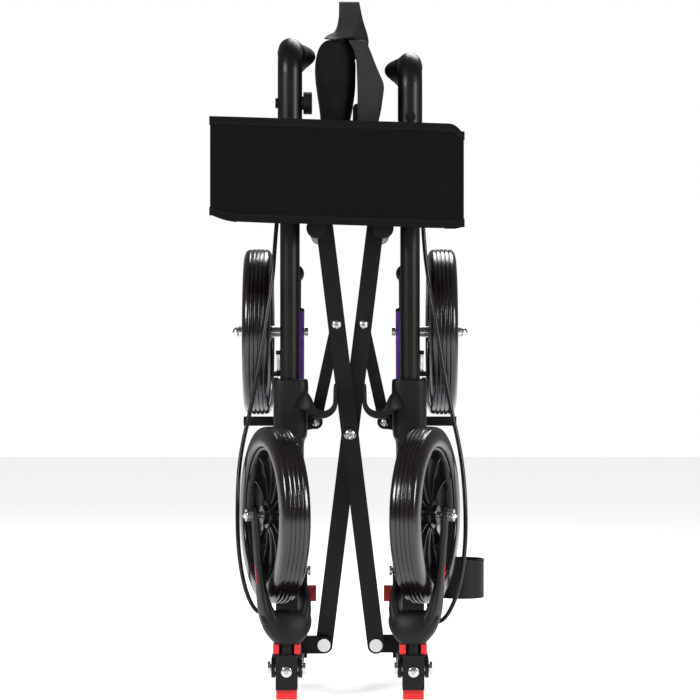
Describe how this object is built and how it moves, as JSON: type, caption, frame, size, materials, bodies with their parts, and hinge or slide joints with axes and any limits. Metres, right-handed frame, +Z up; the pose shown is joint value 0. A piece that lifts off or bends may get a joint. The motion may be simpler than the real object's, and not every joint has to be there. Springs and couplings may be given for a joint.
{
  "type": "rollator walker",
  "caption": "Side-folding rollator walker, stored: crossed brace, turned-up rear legs and front casters, seat, backrest band, hand brakes and cane cup.",
  "frame": {"origin": "on the floor, under the middle of the folded walker", "axes": "+Z up, +X across, +Y from the front casters towards the user's grips"},
  "size_m": [0.318, 0.3972, 0.7957],
  "materials": {
    "black_paint": "satin powder coat",
    "purple_paint": "gloss purple paint",
    "black_plastic": "fine moulded grain",
    "gloss_black_plastic": "glossy moulded plastic",
    "red_plastic": "glossy moulded plastic",
    "tyre_rubber": "glossy black polyurethane",
    "grip_rubber": "matt rubber",
    "zinc_steel": "bright plated steel",
    "seat_fabric": "woven polyester",
    "band_fabric": "matt padded fabric",
    "cable_cover": "smooth cable housing"
  },
  "bodies": {
    "frame_right": {"frame_tube_right": "purple_paint", "upright_right": "black_paint", "sleeve_right": "black_plastic", "base_casting_right": "black_plastic", "frame_bolts_right": "zinc_steel", "cane_cup": "black_plastic", "brake_cable_right": "cable_cover"},
    "frame_left": {"frame_tube_left": "purple_paint", "upright_left": "black_paint", "sleeve_left": "black_plastic", "base_casting_left": "black_plastic", "frame_bolts_left": "zinc_steel", "brake_cable_left": "cable_cover"},
    "brace_a": {"brace_bar_a": "black_paint"},
    "brace_b": {"brace_bar_b": "black_paint"},
    "seat_left": {"seat_left": "seat_fabric"},
    "seat_right": {"seat_right": "seat_fabric"},
    "band_return_left": {"band_return_left": "band_fabric"},
    "band_panel": {"band_panel": "band_fabric"},
    "band_return_right": {"band_return_right": "band_fabric"},
    "link_left": {"guide_link_left": "black_paint"},
    "link_right": {"guide_link_right": "black_paint"},
    "handle_left": {"handle_tube_left": "black_paint", "grip_left": "grip_rubber"},
    "height_knob_left": {"height_knob_left": "black_plastic"},
    "brake_lever_left": {"brake_lever_left": "black_plastic"},
    "rear_leg_left": {"rear_leg_left": "purple_paint", "tip_pedal_left": "black_plastic", "rear_axle_left": "zinc_steel", "brake_spring_left": "zinc_steel"},
    "rear_wheel_left": {"rear_tyre_left": "tyre_rubber", "rear_rim_left": "gloss_black_plastic"},
    "brake_arm_left": {"brake_arm_left": "black_paint"},
    "rear_latch_left": {"rear_latch_left": "red_plastic"},
    "caster_box_left": {"caster_box_left": "black_plastic", "caster_release_left": "red_plastic"},
    "front_latch_left": {"front_latch_left": "red_plastic"},
    "fork_left": {"fork_left": "gloss_black_plastic", "front_axle_left": "zinc_steel"},
    "front_wheel_left": {"front_tyre_left": "tyre_rubber", "front_rim_left": "gloss_black_plastic"},
    "handle_right": {"handle_tube_right": "black_paint", "grip_right": "grip_rubber"},
    "height_knob_right": {"height_knob_right": "black_plastic"},
    "brake_lever_right": {"brake_lever_right": "black_plastic"},
    "rear_leg_right": {"rear_leg_right": "purple_paint", "tip_pedal_right": "black_plastic", "rear_axle_right": "zinc_steel", "brake_spring_right": "zinc_steel"},
    "rear_wheel_right": {"rear_tyre_right": "tyre_rubber", "rear_rim_right": "gloss_black_plastic"},
    "brake_arm_right": {"brake_arm_right": "black_paint"},
    "rear_latch_right": {"rear_latch_right": "red_plastic"},
    "caster_box_right": {"caster_box_right": "black_plastic", "caster_release_right": "red_plastic"},
    "front_latch_right": {"front_latch_right": "red_plastic"},
    "fork_right": {"fork_right": "gloss_black_plastic", "front_axle_right": "zinc_steel"},
    "front_wheel_right": {"front_tyre_right": "tyre_rubber", "front_rim_right": "gloss_black_plastic"}
  },
  "joints": [
    {"name": "fold", "type": "hinge", "parent": "frame_right", "child": "brace_a", "pos_m": [0.03008, -0.01, 0.043], "axis": [0, -1, 0], "range_deg": [0, 46.4], "deforming": ["seat_left", "seat_right", "band_panel", "band_return_left", "band_return_right"]},
    {"name": "fold_cross", "type": "hinge", "parent": "brace_a", "child": "brace_b", "pos_m": [0, -0.003, 0.28796], "axis": [0, -1, 0], "range_deg": [-93, 0.2]},
    {"name": "fold_left", "type": "hinge", "parent": "brace_b", "child": "frame_left", "pos_m": [-0.03008, 0.004, 0.043], "axis": [0, -1, 0], "range_deg": [-0.2, 46.6]},
    {"name": "link_right_turn", "type": "hinge", "parent": "frame_right", "child": "link_right", "pos_m": [0.0404, 0.015, 0.301], "axis": [0, -1, 0], "range_deg": [-0.2, 95.8]},
    {"name": "link_left_turn", "type": "hinge", "parent": "frame_left", "child": "link_left", "pos_m": [-0.0404, 0.015, 0.301], "axis": [0, 1, 0], "range_deg": [-0.2, 95.8]},
    {"name": "seat_left_turn", "type": "hinge", "parent": "brace_a", "child": "seat_left", "pos_m": [-0.03828, 0.08, 0.52587], "axis": [0, 1, 0], "range_deg": [-0.2, 134.76]},
    {"name": "seat_fold", "type": "hinge", "parent": "seat_left", "child": "seat_right", "pos_m": [-0.009, 0.08, 0.72371], "axis": [0, 1, 0], "range_deg": [-171.49, 0.2]},
    {"name": "band_left_turn", "type": "hinge", "parent": "frame_left", "child": "band_return_left", "pos_m": [-0.059, -0.021, 0.595], "axis": [0, 0, 1], "range_deg": [-0.2, 152.95]},
    {"name": "band_left_fold", "type": "hinge", "parent": "band_return_left", "child": "band_panel", "pos_m": [-0.158, -0.045, 0.595], "axis": [0, 0, 1], "range_deg": [-152.95, 0.2]},
    {"name": "band_right_fold", "type": "hinge", "parent": "band_panel", "child": "band_return_right", "pos_m": [0.128, -0.045, 0.595], "axis": [0, 0, 1], "range_deg": [-141.84, 0.2]},
    {"name": "handle_height_left", "type": "slide", "parent": "frame_left", "child": "handle_left", "axis": [0, 0, 1], "range_m": [-0.017, 0.083]},
    {"name": "height_knob_turn_left", "type": "hinge", "parent": "handle_left", "child": "height_knob_left", "pos_m": [-0.055, 0, 0.673], "axis": [1, 0, 0], "continuous": true},
    {"name": "brake_lever_turn_left", "type": "hinge", "parent": "handle_left", "child": "brake_lever_left", "pos_m": [-0.07, 0.04, 0.711], "axis": [1, 0, 0], "range_deg": [0, 7], "stiffness_Nm_per_rad": 1},
    {"name": "rear_leg_fold_left", "type": "hinge", "parent": "frame_left", "child": "rear_leg_left", "pos_m": [-0.067, 0.045, 0.125], "axis": [-1, 0, 0], "range_deg": [0, 142.4], "deforming": ["brake_cable_left"]},
    {"name": "rear_wheel_spin_left", "type": "hinge", "parent": "rear_leg_left", "child": "rear_wheel_left", "pos_m": [-0.11, 0.09982, 0.40702], "axis": [1, 0, 0], "continuous": true},
    {"name": "brake_arm_turn_left", "type": "hinge", "parent": "rear_leg_left", "child": "brake_arm_left", "pos_m": [-0.082, 0.07212, 0.29597], "axis": [1, 0, 0], "range_deg": [-0.05, 2.55], "deforming": ["brake_spring_left"]},
    {"name": "rear_latch_press_left", "type": "slide", "parent": "frame_left", "child": "rear_latch_left", "axis": [0, 0, 1], "range_m": [0, 0.005], "stiffness_N_per_m": 400},
    {"name": "caster_fold_left", "type": "hinge", "parent": "frame_left", "child": "caster_box_left", "pos_m": [-0.07, -0.15, 0.034], "axis": [1, 0, 0], "range_deg": [0, 180]},
    {"name": "front_latch_press_left", "type": "slide", "parent": "caster_box_left", "child": "front_latch_left", "axis": [0, 1, 0], "range_m": [0, 0.003], "stiffness_N_per_m": 400},
    {"name": "caster_swivel_left", "type": "hinge", "parent": "caster_box_left", "child": "fork_left", "pos_m": [-0.07, -0.15, 0.07], "axis": [0, 0, 1], "range_deg": [-4, 100]},
    {"name": "front_wheel_spin_left", "type": "hinge", "parent": "fork_left", "child": "front_wheel_left", "pos_m": [-0.0852, -0.10027, 0.2], "axis": [0.9563, 0.2924, 0], "continuous": true},
    {"name": "handle_height_right", "type": "slide", "parent": "frame_right", "child": "handle_right", "axis": [0, 0, 1], "range_m": [0, 0.1]},
    {"name": "height_knob_turn_right", "type": "hinge", "parent": "handle_right", "child": "height_knob_right", "pos_m": [0.07, 0.015, 0.656], "axis": [0, 1, 0], "continuous": true},
    {"name": "brake_lever_turn_right", "type": "hinge", "parent": "handle_right", "child": "brake_lever_right", "pos_m": [0.07, 0.04, 0.694], "axis": [1, 0, 0], "range_deg": [0, 7], "stiffness_Nm_per_rad": 1},
    {"name": "rear_leg_fold_right", "type": "hinge", "parent": "frame_right", "child": "rear_leg_right", "pos_m": [0.067, 0.045, 0.125], "axis": [-1, 0, 0], "range_deg": [0, 142.4], "deforming": ["brake_cable_right"]},
    {"name": "rear_wheel_spin_right", "type": "hinge", "parent": "rear_leg_right", "child": "rear_wheel_right", "pos_m": [0.11, 0.09982, 0.40702], "axis": [1, 0, 0], "continuous": true},
    {"name": "brake_arm_turn_right", "type": "hinge", "parent": "rear_leg_right", "child": "brake_arm_right", "pos_m": [0.082, 0.07212, 0.29597], "axis": [1, 0, 0], "range_deg": [-0.05, 2.55], "deforming": ["brake_spring_right"]},
    {"name": "rear_latch_press_right", "type": "slide", "parent": "frame_right", "child": "rear_latch_right", "axis": [0, 0, 1], "range_m": [0, 0.005], "stiffness_N_per_m": 400},
    {"name": "caster_fold_right", "type": "hinge", "parent": "frame_right", "child": "caster_box_right", "pos_m": [0.07, -0.15, 0.034], "axis": [1, 0, 0], "range_deg": [0, 180]},
    {"name": "front_latch_press_right", "type": "slide", "parent": "caster_box_right", "child": "front_latch_right", "axis": [0, 1, 0], "range_m": [0, 0.003], "stiffness_N_per_m": 400},
    {"name": "caster_swivel_right", "type": "hinge", "parent": "caster_box_right", "child": "fork_right", "pos_m": [0.07, -0.15, 0.07], "axis": [0, 0, -1], "range_deg": [-4, 100]},
    {"name": "front_wheel_spin_right", "type": "hinge", "parent": "fork_right", "child": "front_wheel_right", "pos_m": [0.0852, -0.10027, 0.2], "axis": [0.9563, -0.2924, 0], "continuous": true}
  ],
  "couplings": [
    {"joint": "fold_cross", "follows": "fold", "ratio": -2},
    {"joint": "fold_left", "follows": "fold", "ratio": 1},
    {"joint": "link_right_turn", "follows": "fold", "ratio": 2.0603},
    {"joint": "link_left_turn", "follows": "fold", "ratio": 2.0603},
    {"joint": "seat_left_turn", "follows": "fold", "ratio": 2.8999},
    {"joint": "seat_fold", "follows": "fold", "ratio": -3.6916},
    {"joint": "band_left_turn", "follows": "fold", "ratio": 3.2919},
    {"joint": "band_left_fold", "follows": "fold", "ratio": -3.2919},
    {"joint": "band_right_fold", "follows": "fold", "ratio": -3.0526},
    {"joint": "brake_arm_turn_left", "follows": "brake_lever_turn_left", "ratio": 0.357},
    {"joint": "brake_arm_turn_right", "follows": "brake_lever_turn_right", "ratio": 0.357}
  ]
}
